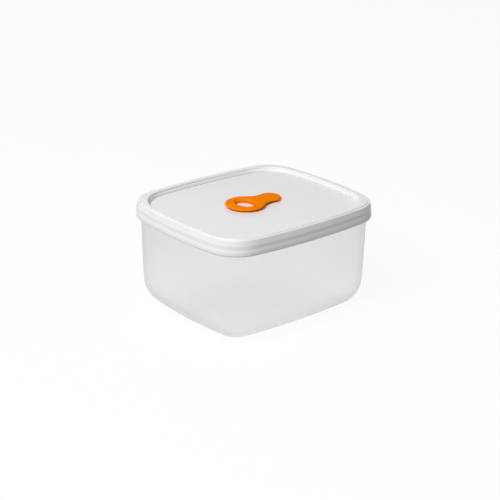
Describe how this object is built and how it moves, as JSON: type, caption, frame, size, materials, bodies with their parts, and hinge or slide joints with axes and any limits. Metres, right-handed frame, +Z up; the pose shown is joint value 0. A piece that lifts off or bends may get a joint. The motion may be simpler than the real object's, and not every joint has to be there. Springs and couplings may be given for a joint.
{
  "type": "breast milk storage freezer box",
  "caption": "Freezer box for breast milk bags: a translucent tub with bowed sides, a snap lid with a raised rim, and a silicone vent valve with a pull ring.",
  "frame": {"origin": "on the surface the box stands on, under the middle of the box", "axes": "+X along the long side, from the valve's pull ring to its anchor tab; +Y along the short side, away from the long face nearer the viewer; +Z up"},
  "size_m": [0.12, 0.105, 0.065],
  "materials": {
    "box_plastic": "frosted translucent polypropylene",
    "lid_plastic": "satin opaque white",
    "valve_silicone": "satin orange silicone"
  },
  "bodies": {
    "box": {"box_body": "box_plastic"},
    "lid": {"lid": "lid_plastic", "vent_anchor_tab": "valve_silicone"},
    "vent_valve": {"vent_pull_ring": "valve_silicone"}
  },
  "joints": [
    {"name": "lid_lift", "type": "slide", "parent": "box", "child": "lid", "axis": [0, 0, 1], "range_m": [0, 0.06]},
    {"name": "vent_valve_hinge", "type": "hinge", "parent": "lid", "child": "vent_valve", "pos_m": [0.00815, 0, 0.06445], "axis": [0, 1, 0], "range_deg": [0, 100]}
  ]
}
